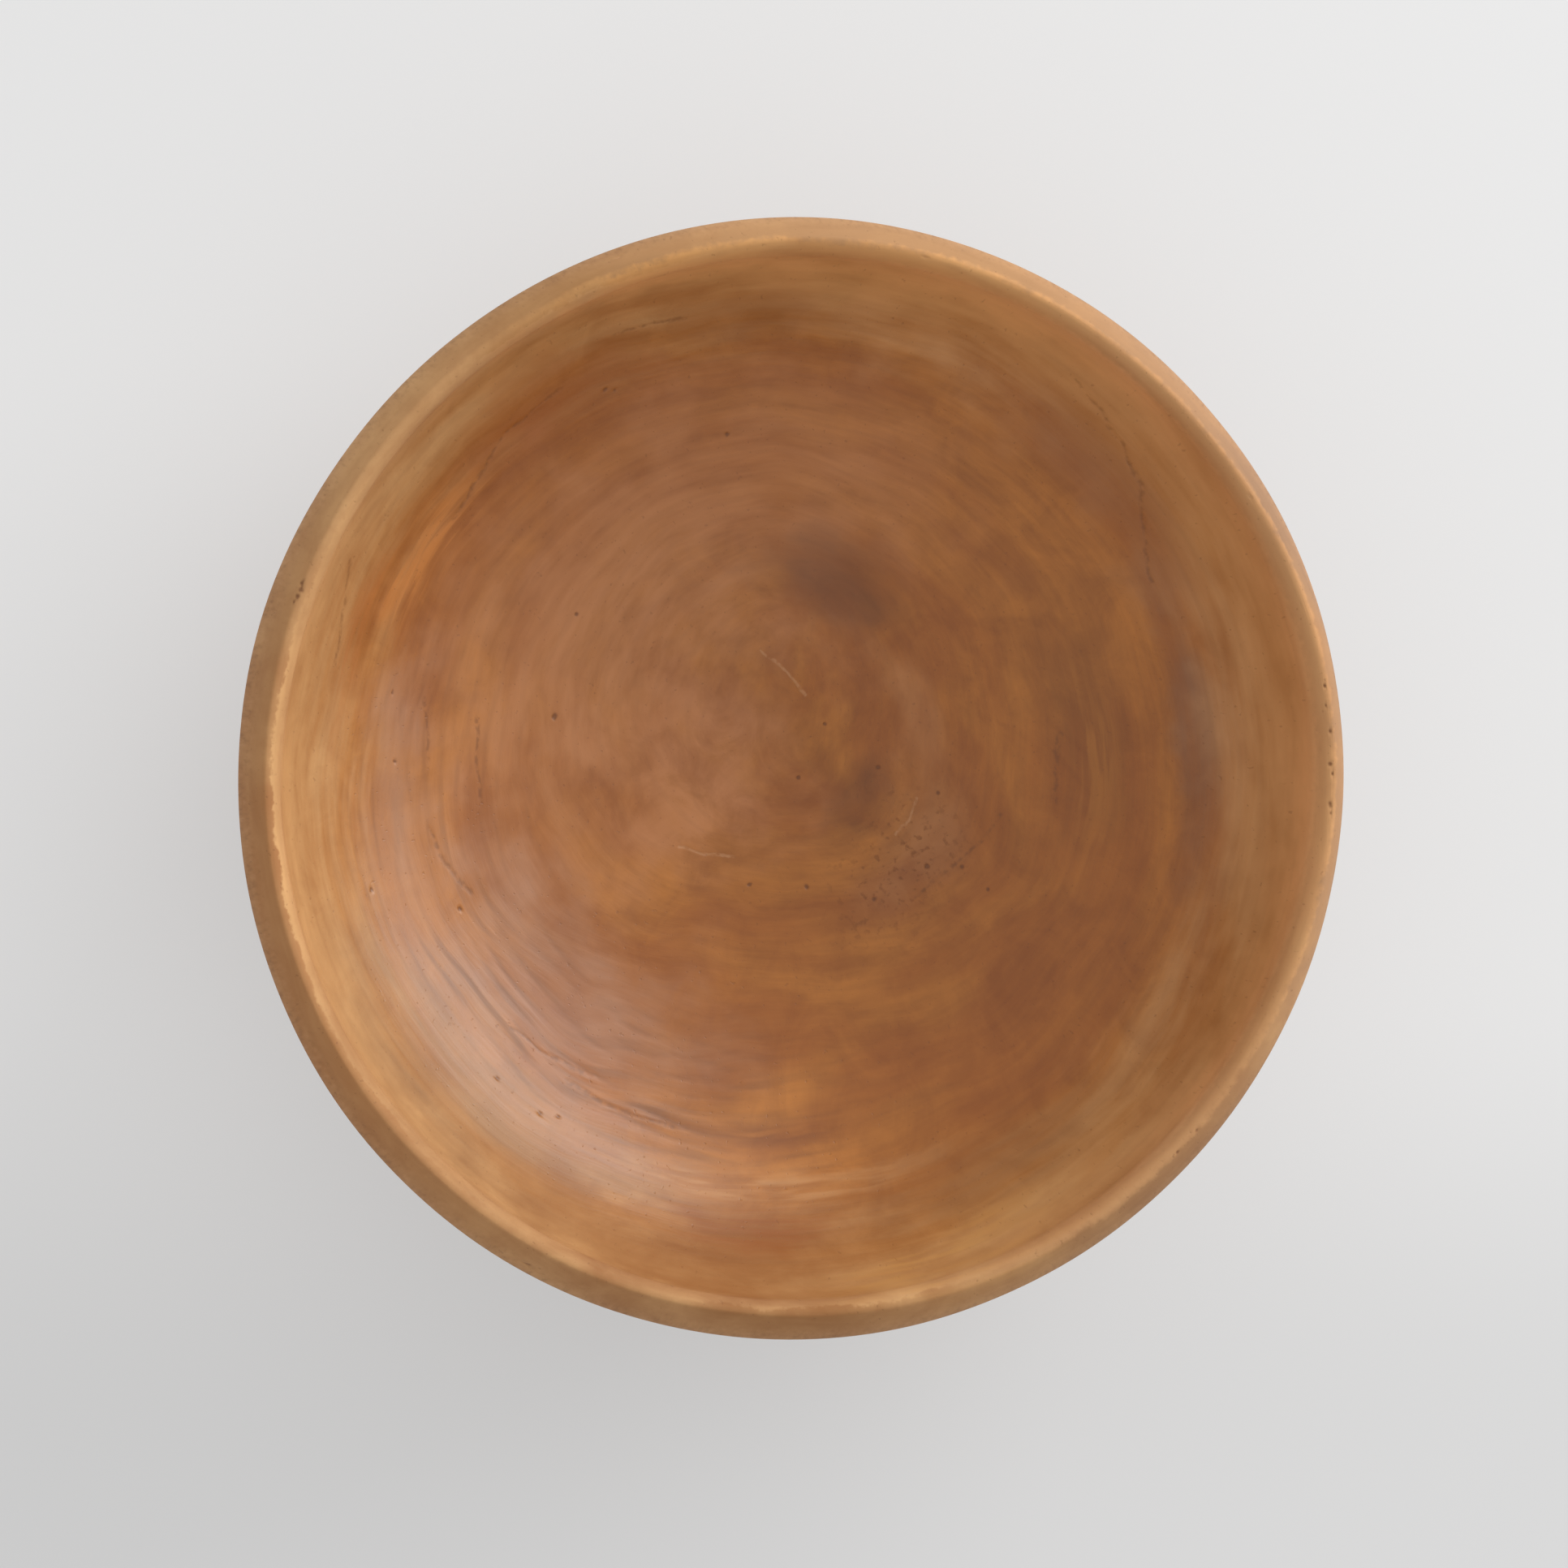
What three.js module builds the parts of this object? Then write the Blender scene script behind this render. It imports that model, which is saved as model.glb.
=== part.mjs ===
// A decorative bowl turned from one block of wood, standing on four felt pads.
// Units are millimetres, +Z is up, and the origin is on the table under the middle of the bowl.
import * as THREE from "three";

// Driving dimensions of the bowl. It is turned round and dries a little oval.
const longDiameter = 301.5; // widest outside size, along Y
const shortDiameter = 298.5; // widest outside size, along X
const height = 95; // table to the crest of the rim
const rimArc = 17; // radius of the outside where it turns in above its widest line
const rimLean = 52; // degrees that the outside has turned in at the rim
const crestRound = 1.5; // rounding of the rim's crest
const baseThickness = 11; // wood between the hollow and the recess under the foot

// Driving dimensions of the turned foot
const footDiameter = 112;
const footHeight = 6; // underside of the foot up to the start of the wall
const footRingWidth = 20; // flat ring that the pads are glued to
const footEdge = 1.5; // rounding of the ring's outer edge
const recessDepth = 3; // hollow inside the ring
const coveRadius = 4; // inside corner between foot and wall

// Driving dimensions of the glued felt pads
const padCount = 4;
const padDiameter = 14;
const padThickness = 2.5;
const padEdge = 0.6; // softened lower edge

// How finely the round faces are cut
const turns = 64;
const padTurns = 24;

// Sizes that follow from the driving dimensions
const roundDiameter = (longDiameter + shortDiameter) / 2;
const ovalX = shortDiameter / roundDiameter;
const ovalY = longDiameter / roundDiameter;
const bellyRadius = roundDiameter / 2;
const lean = (rimLean * Math.PI) / 180;
const crestRadius = bellyRadius - rimArc + (rimArc - crestRound) * Math.cos(lean);
const hollowRadius = crestRadius - crestRound;
const hollowTop = height - crestRound;
const bellyLevel = hollowTop - (rimArc - crestRound) * Math.sin(lean);
const footRadius = footDiameter / 2;
const footLevel = padThickness;
const recessRadius = footRadius - footRingWidth;
const recessLevel = footLevel + recessDepth;
const hollowBottom = recessLevel + baseThickness;
const wallStartRadius = footRadius + coveRadius;
const wallStartLevel = footLevel + footHeight;
const padCircleRadius = footRadius - footRingWidth / 2;

const wood = new THREE.MeshStandardMaterial({ color: 0xa8714a, roughness: 0.5, metalness: 0 });
const felt = new THREE.MeshStandardMaterial({ color: 0x4a3a2e, roughness: 0.95, metalness: 0 });

// Points of an elliptical arc in the radius and height plane.
function arc(centreRadius, centreLevel, radiusX, radiusZ, from, to, steps) {
  const curve = new THREE.EllipseCurve(centreRadius, centreLevel, radiusX, radiusZ, from, to, to < from);
  return curve.getPoints(steps);
}

// Half of the bowl's section, from the middle of the recess round the outside and rim to the middle of the hollow.
function bowlSection() {
  const point = (radius, level) => new THREE.Vector2(radius, level);
  const wallStart = Math.acos(wallStartRadius / bellyRadius);
  const wallDepth = (bellyLevel - wallStartLevel) / Math.sin(wallStart);
  const cove = new THREE.QuadraticBezierCurve(
    point(footRadius, wallStartLevel - coveRadius),
    point(footRadius, wallStartLevel),
    point(wallStartRadius, wallStartLevel),
  );
  const quarter = Math.PI / 2;
  return [
    point(0, recessLevel),
    point(recessRadius, recessLevel),
    point(recessRadius, footLevel),
    ...arc(footRadius - footEdge, footLevel + footEdge, footEdge, footEdge, -quarter, 0, 3),
    ...cove.getPoints(4),
    ...arc(0, bellyLevel, bellyRadius, wallDepth, -wallStart, 0, 12).slice(1),
    ...arc(bellyRadius - rimArc, bellyLevel, rimArc, rimArc, 0, lean, 5).slice(1),
    ...arc(crestRadius, hollowTop, crestRound, crestRound, lean, quarter, 2).slice(1),
    ...arc(crestRadius, hollowTop, crestRound, crestRound, quarter, 2 * quarter, 3).slice(1),
    ...arc(0, hollowTop, hollowRadius, hollowTop - hollowBottom, 0, -quarter, 14).slice(1, -1),
    point(0, hollowBottom),
  ];
}

// Half of a pad's section, from the middle of its underside to the middle of the glued face.
function padSection() {
  const radius = padDiameter / 2;
  return [
    new THREE.Vector2(0, 0),
    ...arc(radius - padEdge, padEdge, padEdge, padEdge, -Math.PI / 2, 0, 3),
    new THREE.Vector2(radius, padThickness),
    new THREE.Vector2(0, padThickness),
  ];
}

// A section turned about the upright axis.
function turned(section, segments) {
  return new THREE.LatheGeometry(section, segments).rotateX(Math.PI / 2);
}

const part = new THREE.Group();

const bowl = new THREE.Mesh(turned(bowlSection(), turns), wood);
bowl.name = "bowl_body";
bowl.scale.set(ovalX, ovalY, 1);
part.add(bowl);

for (let i = 0; i < padCount; i++) {
  const angle = ((i + 0.5) * 2 * Math.PI) / padCount;
  const pad = new THREE.Mesh(turned(padSection(), padTurns), felt);
  pad.name = `felt_pad_${i + 1}`;
  pad.position.set(padCircleRadius * ovalX * Math.cos(angle), padCircleRadius * ovalY * Math.sin(angle), 0);
  part.add(pad);
}

export default part;
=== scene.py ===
import math

import bmesh
import bpy
from mathutils import Matrix, Vector, kdtree, noise


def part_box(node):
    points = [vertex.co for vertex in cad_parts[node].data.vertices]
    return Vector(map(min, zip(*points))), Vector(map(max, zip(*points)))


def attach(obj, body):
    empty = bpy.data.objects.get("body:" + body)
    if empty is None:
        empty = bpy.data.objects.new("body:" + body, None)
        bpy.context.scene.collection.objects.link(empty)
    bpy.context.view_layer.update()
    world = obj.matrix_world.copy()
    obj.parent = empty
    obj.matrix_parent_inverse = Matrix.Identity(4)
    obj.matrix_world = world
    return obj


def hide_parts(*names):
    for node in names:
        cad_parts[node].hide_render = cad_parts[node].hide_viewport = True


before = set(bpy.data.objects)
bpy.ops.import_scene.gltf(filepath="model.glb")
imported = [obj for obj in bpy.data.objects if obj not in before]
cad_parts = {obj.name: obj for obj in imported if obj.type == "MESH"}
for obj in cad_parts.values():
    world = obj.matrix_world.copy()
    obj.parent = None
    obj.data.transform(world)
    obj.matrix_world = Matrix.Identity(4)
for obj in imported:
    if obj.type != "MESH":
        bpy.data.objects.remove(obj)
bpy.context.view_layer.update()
scene = bpy.context.scene
scene.view_settings.view_transform = "Standard"
mm = 0.001
print("frame loaded:", len(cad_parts), "solids")

# the view of the picture
view = {
    "lean": 10.2,  # degrees from the turning axis to the line of sight
    "leanTowards": 3.0,  # where the axis points in the picture, degrees anticlockwise from right
    "turn": 43.0,  # picture right, degrees anticlockwise from +X
    "distance": 1800.0,  # mm from the widest line of the bowl
    "pixelsPerMm": 4.605,  # at that distance, in a picture 1932 wide
    "offCentre": (17.3, 7.3),  # pixels right and up of the middle of the picture
    "picture": 1932,
    "sensor": 36.0,  # mm
    "farthest": 20.0,  # metres that the camera sees
}


def pictureAxes():
    turn, lean = math.radians(view["turn"]), math.radians(view["lean"])
    flatRight = Vector((math.cos(turn), math.sin(turn), 0))
    flatUp = Vector((-math.sin(turn), math.cos(turn), 0))
    towards = math.radians(view["leanTowards"])
    leaning = flatRight * math.cos(towards) + flatUp * math.sin(towards)
    back = Vector((0, 0, math.cos(lean))) - leaning * math.sin(lean)
    up = (flatUp - back * flatUp.dot(back)).normalized()
    return up.cross(back), up, back


right, up, back = pictureAxes()


def inPicture(toRight, toUp, toCamera):
    return right * toRight + up * toUp + back * toCamera


def addCamera(aimLevel):
    data = bpy.data.cameras.new("pictureCamera")
    data.sensor_width = view["sensor"]
    data.lens = view["pixelsPerMm"] * view["distance"] * view["sensor"] / view["picture"]
    data.clip_end = view["farthest"]
    camera = bpy.data.objects.new("pictureCamera", data)
    scene.collection.objects.link(camera)
    off = [pixels / view["pixelsPerMm"] for pixels in view["offCentre"]]
    place = (Vector((0, 0, aimLevel)) + inPicture(-off[0], -off[1], view["distance"])) * mm
    turned = Matrix((right, up, back)).transposed().to_4x4()
    camera.matrix_world = Matrix.Translation(place) @ turned
    scene.camera = camera


# the turned bowl: the same section as the solid, cut finer
bowl = {
    "rimArc": 17.0,  # radius of the outside above its widest line
    "rimLean": 52.0,  # degrees that it has turned in at the rim
    "crestRound": 1.5,
    "lipRound": (3.5, 6.0),  # the inner edge is rubbed softer than the solid's: across and down
    "baseThickness": 11.0,
    "footDiameter": 112.0,
    "footHeight": 6.0,
    "footRingWidth": 20.0,
    "footEdge": 1.5,
    "recessDepth": 3.0,
    "coveRadius": 4.0,
    "turns": 256,
    "footSteps": {"recess": 8, "recessWall": 3, "ring": 6, "edge": 4, "cove": 5},
    "wallSteps": {"outside": 44, "turnIn": 14, "crest": 5, "lip": 10, "hollow": 156},
    "join": 0.01,  # points closer than this become one
    "sharpAngle": 50.0,  # degrees
}


def line(start, end, steps):
    return [tuple(a + (b - a) * i / steps for a, b in zip(start, end)) for i in range(steps + 1)]


def arc(centre, radii, fromAngle, toAngle, steps):
    angles = [math.radians(fromAngle + (toAngle - fromAngle) * i / steps) for i in range(steps + 1)]
    return [(centre[0] + radii[0] * math.cos(a), centre[1] + radii[1] * math.sin(a)) for a in angles]


# half of the section, from the middle of the recess round the outside and rim to the middle of the hollow
def bowlSection(low, high):
    widest = (high.x - low.x + high.y - low.y) / 4 / mm
    top, foot = high.z / mm, low.z / mm
    turnIn, crest = bowl["rimArc"], bowl["crestRound"]
    lean = math.radians(bowl["rimLean"])
    crestRadius = widest - turnIn + (turnIn - crest) * math.cos(lean)
    crestLevel = top - crest
    belly = crestLevel - (turnIn - crest) * math.sin(lean)
    recess = foot + bowl["recessDepth"]
    across, down = bowl["lipRound"]
    hollowTop = top - down
    hollowDepth = hollowTop - recess - bowl["baseThickness"]
    footRadius, edge, cove = bowl["footDiameter"] / 2, bowl["footEdge"], bowl["coveRadius"]
    ringInner = footRadius - bowl["footRingWidth"]
    wallLevel = foot + bowl["footHeight"]
    start = math.degrees(math.acos((footRadius + cove) / widest))
    wallDepth = (belly - wallLevel) / math.sin(math.radians(start))
    steps = bowl["footSteps"]
    points = line((0, recess), (ringInner, recess), steps["recess"])
    points += line((ringInner, recess), (ringInner, foot), steps["recessWall"])[1:]
    points += line((ringInner, foot), (footRadius - edge, foot), steps["ring"])[1:-1]
    points += arc((footRadius - edge, foot + edge), (edge, edge), -90, 0, steps["edge"])
    points += arc((footRadius + cove, wallLevel - cove), (cove, cove), 180, 90, steps["cove"])
    steps = bowl["wallSteps"]
    points += arc((0, belly), (widest, wallDepth), -start, 0, steps["outside"])[1:]
    points += arc((widest - turnIn, belly), (turnIn, turnIn), 0, bowl["rimLean"], steps["turnIn"])[1:]
    points += arc((crestRadius, crestLevel), (crest, crest), bowl["rimLean"], 90, steps["crest"])[1:]
    points += arc((crestRadius, hollowTop), (across, down), 90, 180, steps["lip"])[1:]
    points += arc((0, hollowTop), (crestRadius - across, hollowDepth), 0, -90, steps["hollow"])[1:-1]
    points.append((0, hollowTop - hollowDepth))
    return points, belly


# what the lathe, the wood and use have left on the surface, in mm
wear = {
    "tool": {  # the gouge's spiral
        "pitch": 4.8,  # its travel for each turn
        "depth": 0.07,
        "start": 300.0,  # the spiral starts this far before the crest
        "wander": (0.8, 3.5, 0.35),  # share of a turn, then its changes round the bowl and turn by turn
        "patches": (0.4, 0.9, 4.0, 0.8),  # even share, patchy share, then as above
        "patchShift": (5, 1),  # another part of the noise
        "zone": (268.0, 96.0),  # where the marks are clearest: degrees round, mm out
        "zoneSize": (0.9, 26.0),  # radians round, mm out
        "faint": 0.15,  # how clear they are elsewhere
    },
    "swell": (48.0, 0.35),  # slow hand-sanded swells: their size and height
    "trueFoot": (14.0, 20.0),  # the outside stays true up to here, and swells freely this much higher
    "rimBend": (60.0, 35.0),  # drying has bent the wall from here up, fully after this much more
    "rimWaver": {  # reach, bends, part of the noise
        "rise": (0.55, 2.2, (9, 2, 5)),
        "sway": (0.4, 1.3, (3, 7, 1)),
    },
    "rimSpread": [1.7, 0.0, 0.4, 0.9, 1.5, 1.1, 0.0, 0.0],  # outwards at the crest, every 45 degrees
    "rimSpreadFrom": 43.0,
    "rimSpreadReach": 7.0,
    "pits": [  # place across the hollow, width
        (-106.7, 45.0, 2.0), (-104.7, 46.7, 1.7), (-72.9, 61.4, 2.2), (-68.8, -2.1, 1.8),
        (-53.9, -26.5, 2.4), (-92.5, -54.2, 1.6), (-79.0, -67.2, 1.7), (-60.6, -97.3, 2.1),
        (-38.1, -83.7, 1.9), (-0.5, -111.0, 2.0), (14.6, -110.1, 2.2), (19.0, -107.3, 1.9),
        (3.2, 24.5, 1.6), (8.0, 8.7, 1.7),
        (22.4, 25.9, 1.9), (39.2, 31.9, 1.8), (50.8, 14.8, 2.0), (57.7, 21.2, 1.8), (67.0, 21.2, 1.6),
        (30.2, -12.1, 1.9), (18.0, -22.6, 1.7), (46.2, -1.9, 2.0),
    ],
    "rimPits": [  # degrees round, mm in from the crest, width
        (202.3, -0.5, 1.9), (203.0, 0.0, 2.4), (203.8, -0.2, 2.0), (204.5, -0.7, 1.4), (283.0, -8.0, 2.4),
        (284.2, -6.8, 1.8), (285.0, -8.8, 1.6), (282.3, -9.4, 1.5), (283.7, -9.9, 1.2), (53.0, 0.3, 1.5),
        (50.8, 0.9, 1.1), (48.1, 0.5, 1.3), (44.6, 1.0, 1.9), (43.6, 0.4, 1.2), (40.2, 0.9, 2.0),
        (39.2, 0.5, 1.4), (358.2, 0.0, 1.6), (1.3, 0.3, 1.8), (300.5, -4.0, 1.2), (262.0, -6.5, 1.3),
    ],
    "rimChips": [  # the same, where pale wood shows
        (166.2, -8.6, 1.8), (166.9, -9.4, 1.4), (182.0, -3.4, 2.0), (182.8, -2.8, 1.3), (153.0, -6.0, 1.7),
        (120.0, 0.5, 1.4), (75.0, 0.2, 1.6), (62.0, 0.8, 1.2),
    ],
    "pitDepth": 0.35,  # of the chips too
    "paleMarks": {  # light lines along crack edges, painted as the highlight that their edges catch: places across the hollow, width
        "besidePith": ([(-24.3, 26.9), (-14.5, 28.0), (-5.8, 26.6)], 1.4),
        "lower": ([(-3.4, -28.6), (3.0, -24.5), (10.0, -19.2)], 1.6),
        "tornEdge": ([(35.9, 26.7), (38.4, 21.0), (38.7, 15.3)], 1.4),
    },
    "chipAndGlintDepth": 0.2,
    "seams": {  # dark lines where a ring comes to the surface
        "upperRing": (
            [(-16.3, 133.4), (-4.0, 132.0), (8.2, 129.2), (18.0, 126.2), (29.7, 117.7), (39.8, 110.6)],
            3.2,
        ),
        "rightRing": ([(52.2, 66.1), (58.4, 58.0), (63.9, 50.8)], 3.0),
        "tornRidge": ([(56.1, 39.0), (56.8, 30.0), (55.7, 21.6), (53.5, 5.8)], 2.4),
        "lowerRing": ([(-5.5, -97.8), (7.3, -95.9), (19.2, -93.1)], 2.8),
        "footRing": ([(15.3, -98.3), (30.3, -94.8), (45.1, -87.5)], 2.8),
        "leftRing": ([(-59.8, -73.9), (-49.1, -77.5), (-38.8, -78.4)], 2.8),
        "amberRing": (
            [(-115.9, 35.6), (-117.7, 26.3), (-118.6, 16.4), (-114.5, -0.4), (-112.7, -9.6)],
            3.0,
        ),
        "topRing": ([(-115.9, 56.5), (-111.5, 64.8), (-104.6, 72.5)], 2.6),
        "wallCrack": ([(-126.8, -38.9), (-120.0, -47.1), (-114.9, -54.1), (-109.7, -61.0)], 2.8),
        "wallFleck": ([(-84.0, -48.8), (-78.0, -54.7), (-71.3, -60.4)], 2.6),
        "heartFleck": ([(-70.2, -41.1), (-61.5, -51.2), (-53.9, -57.7)], 2.4),
    },
    "seamDepth": 0.06,
    "lineStep": 0.3,
    "lineWander": (0.16, 0.9),  # how often a line bends, and how far
    "lineWidth": (0.85, 0.5, 0.12),  # even share, changing share, how often it changes
    "seed": 5,  # for the way that the lines wander
    "cuts": 3,  # the faces are cut finer round the marks
    "cutMargin": 1.5,
    "ragged": (0.5, 0.9),  # edge of the marks: how ragged, and how fine
    "raggedReach": 1.3,
}


def sectionAt(section, lip):
    # the point of the section this far in from the crest
    for (first, *start), (second, *end) in zip(section, section[1:]):
        if first <= lip <= second:
            share = (lip - first) / (second - first)
            return [a + (b - a) * share for a, b in zip(start, end)]


def inHollow(section, x, y):
    # the place on the hollow under this point
    points = [(radius, level) for lip, radius, level in section if lip >= 0]
    radius, height = math.hypot(x, y), points[0][1]
    for (outer, high), (inner, low) in zip(points, points[1:]):
        if inner <= radius <= outer:
            height = low + (high - low) * (radius - inner) / (outer - inner)
            break
    return Vector((x, y, height))


def alongLine(path):
    # close places along a drawn line, a little astray
    bends, reach = wear["lineWander"]
    for start, end in zip(path, path[1:]):
        steps = math.ceil(math.dist(start, end) / wear["lineStep"])
        for i in range(steps):
            x, y = (a + (b - a) * i / steps for a, b in zip(start, end))
            astray = noise.noise_vector(Vector((x, y, 0)) * bends)
            yield x + astray.x * reach, y + astray.y * reach


def markPoints(section):
    marks = []

    def add(at, width, layer, depth):
        marks.append({"at": at, "reach": width / 2, "layer": layer, "depth": depth})

    noise.seed_set(wear["seed"])  # noise_vector is otherwise shifted by the clock
    for x, y, width in wear["pits"]:
        add(inHollow(section, x, y), width, "pit", wear["pitDepth"])
    for kind, layer in (("rimPits", "pit"), ("rimChips", "chipAndGlint")):
        for degrees, lip, width in wear[kind]:
            radius, level = sectionAt(section, lip)
            turn = math.radians(degrees)
            at = Vector((radius * math.cos(turn), radius * math.sin(turn), level))
            add(at, width, layer, wear["pitDepth"])
    even, changing, often = wear["lineWidth"]
    for kind, layer in (("paleMarks", "chipAndGlint"), ("seams", "seam")):
        for path, width in wear[kind].values():
            for x, y in alongLine(path):
                at = inHollow(section, x, y)
                here = width * (even + changing * noise.noise(at * often))
                add(at, here, layer, wear[layer + "Depth"])
    return marks


def lookUp(places):
    tree = kdtree.KDTree(len(places))
    for i, place in enumerate(places):
        tree.insert(place / mm, i)
    tree.balance()
    return tree


def cutFiner(bm, marks):
    # smaller faces where the marks go
    faces = bm.faces[:]
    tree = lookUp([face.calc_center_median() for face in faces])
    chosen = set()
    for mark in marks:
        near = tree.find_range(mark["at"], mark["reach"] + wear["cutMargin"])
        chosen.update(i for place, i, gap in near)
    edges = dict.fromkeys(edge for i in sorted(chosen) for edge in faces[i].edges)  # in a fixed order
    bmesh.ops.subdivide_edges(bm, edges=list(edges), cuts=wear["cuts"], use_grid_fill=True)


def carveMarks(bm, marks, layers):
    # how deep each point goes in; the layers keep how far it is inside a mark
    verts = bm.verts[:]
    tree = lookUp([vert.co for vert in verts])
    share, fineness = wear["ragged"]
    bites = {}
    for mark in marks:
        layer = layers[mark["layer"]]
        for place, i, gap in tree.find_range(mark["at"], mark["reach"] * wear["raggedReach"]):
            ragged = gap / mark["reach"] * (1 + share * noise.noise(place * fineness))
            if ragged < 1:
                bite = (1 - ragged * ragged) ** 2
                verts[i][layer] = max(verts[i][layer], bite)
                bites[i] = max(bites.get(i, 0.0), bite * mark["depth"])
    return {verts[i]: depth for i, depth in bites.items()}


def toolMark(way, angle, lip, out):
    # height of the gouge's spiral here, from -1 to 1, and how clear it is
    tool = wear["tool"]
    turn = (lip + tool["start"]) / tool["pitch"] + angle / math.tau
    reach, around, onwards = tool["wander"]
    turn += reach * noise.noise(way * around + Vector((0, 0, turn * onwards)))
    even, patchy, around, onwards = tool["patches"]
    patch = even + patchy * noise.noise(way * around + Vector((*tool["patchShift"], turn * onwards)))
    zoneTurn, zoneOut = tool["zone"]
    zoneWide, zoneDeep = tool["zoneSize"]
    away = math.remainder(angle - math.radians(zoneTurn), math.tau)
    near = math.exp(-((away / zoneWide) ** 2) - ((out - zoneOut) / zoneDeep) ** 2)
    clear = tool["faint"] + (1 - tool["faint"]) * near
    return math.cos(math.tau * turn), max(0.0, patch) * clear


def waver(kind, way):
    reach, bends, shift = wear["rimWaver"][kind]
    return reach * noise.noise(way * bends + Vector(shift))


def spreadAt(angle):
    # smooth steps between the eight measured places
    spread = wear["rimSpread"]
    step = (math.degrees(angle) - wear["rimSpreadFrom"]) * len(spread) / 360
    share = step - math.floor(step)
    share = share * share * (3 - 2 * share)
    first, second = (spread[(math.floor(step) + i) % len(spread)] for i in (0, 1))
    return first + (second - first) * share


def workSurface(bm, layers, section):
    marks = markPoints(section)
    cutFiner(bm, marks)
    bm.normal_update()
    bites = carveMarks(bm, marks, layers)
    swellSize, swellHeight = wear["swell"]
    footTop, footEasing = wear["trueFoot"]
    bendFrom, bendOver = wear["rimBend"]
    moves = []
    for vert in bm.verts:
        place = vert.co / mm
        lip = vert[layers["lip"]]
        inner = lip > 0
        angle = math.atan2(place.y, place.x)
        way = Vector((math.cos(angle), math.sin(angle), 0.0))
        free = 1.0 if inner else max(0.0, min(1.0, (place.z - footTop) / footEasing))
        wave, clear = toolMark(way, angle, lip, place.xy.length)
        # painted shade in the troughs of the gouge's spiral, kept for the wood's colour
        vert[layers["toolShade"]] = max(0.0, -wave) ** 3 * clear if inner else 0.0
        lift = swellHeight * noise.noise(place / swellSize) + wear["tool"]["depth"] * wave * clear
        lift = lift * free - bites.get(vert, 0.0)
        high = max(0.0, (place.z - bendFrom) / bendOver)
        sway = waver("sway", way) * high
        sway += spreadAt(angle) * math.exp(-((lip / wear["rimSpreadReach"]) ** 2))
        rise = waver("rise", way) * high
        moves.append((vert, vert.normal * lift + way * sway + Vector((0, 0, rise))))
    for vert, move in moves:
        vert.co += move * mm


def makeBowl():
    low, high = (Vector(c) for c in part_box("bowl_body"))
    points, belly = bowlSection(low, high)
    lengths = [0.0]
    for first, second in zip(points, points[1:]):
        lengths.append(lengths[-1] + math.dist(first, second))
    crest = max(range(len(points)), key=lambda i: points[i][1])
    section = [(length - lengths[crest], *point) for length, point in zip(lengths, points)]
    bm = bmesh.new()
    names = ("lip", "toolShade", "pit", "chipAndGlint", "seam")
    layers = {name: bm.verts.layers.float.new(name) for name in names}
    last = None
    for lip, radius, level in section:
        vert = bm.verts.new((radius * mm, 0, level * mm))
        vert[layers["lip"]] = lip
        if last:
            bm.edges.new((last, vert))
        last = vert
    bmesh.ops.spin(
        bm, geom=bm.verts[:] + bm.edges[:], cent=(0, 0, 0), axis=(0, 0, 1), dvec=(0, 0, 0),
        angle=math.tau, steps=bowl["turns"], use_merge=True,
    )
    bmesh.ops.remove_doubles(bm, verts=bm.verts[:], dist=bowl["join"] * mm)
    bmesh.ops.recalc_face_normals(bm, faces=bm.faces[:])
    mean = (high.x - low.x + high.y - low.y) / 2
    oval = Vector(((high.x - low.x) / mean, (high.y - low.y) / mean, 1))
    bmesh.ops.scale(bm, vec=oval, verts=bm.verts[:])
    workSurface(bm, layers, section)
    for face in bm.faces:
        face.smooth = True
        under = all(vert[layers["lip"]] < 0 for vert in face.verts)
        face.material_index = 1 if under and face.calc_center_median().z < belly * mm else 0
    mesh = bpy.data.meshes.new("turnedBowl")
    bm.to_mesh(mesh)
    bm.free()
    mesh.set_sharp_from_angle(angle=math.radians(bowl["sharpAngle"]))
    piece = bpy.data.objects.new("turnedBowl", mesh)
    scene.collection.objects.link(piece)
    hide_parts("bowl_body")
    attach(piece, "root")
    print("bowl turned:", sum(len(face.vertices) - 2 for face in mesh.polygons), "triangles")
    return piece, belly


# short ways to place and join shader nodes
def put(tree, kind, values=None, **settings):
    node = tree.nodes.new("ShaderNode" + kind)
    for name, value in settings.items():
        setattr(node, name, value)
    for socket, value in (values or {}).items():
        if isinstance(value, bpy.types.NodeSocket):
            tree.links.new(value, node.inputs[socket])
        else:
            node.inputs[socket].default_value = value
    return node


def calc(tree, operation, *values):
    return put(tree, "Math", dict(enumerate(values)), operation=operation).outputs[0]


def times(tree, product, *others):
    for value in others:
        product = calc(tree, "MULTIPLY", product, value)
    return product


def vec(tree, operation, *values, **named):
    node = put(tree, "VectorMath", {**dict(enumerate(values)), **named}, operation=operation)
    return node.outputs["Value" if operation in ("LENGTH", "DISTANCE", "DOT_PRODUCT") else "Vector"]


def fade(tree, value, low, high):
    span = {"Value": value, "From Min": low, "From Max": high}
    return put(tree, "MapRange", span, interpolation_type="SMOOTHSTEP").outputs[0]


def speckle(tree, place, scale, detail, **named):
    values = {"Vector": place, "Scale": scale, "Detail": detail, **named}
    return put(tree, "TexNoise", values).outputs["Fac"]


def blendColour(tree, share, first, second):
    return put(tree, "Mix", {0: share, 6: first, 7: second}, data_type="RGBA").outputs[2]


def screenColour(red, green, blue):  # 0 to 255, as a colour picker shows it
    parts = [value / 255 for value in (red, green, blue)]
    return [p / 12.92 if p < 0.04045 else ((p + 0.055) / 1.055) ** 2.4 for p in parts] + [1.0]


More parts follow.
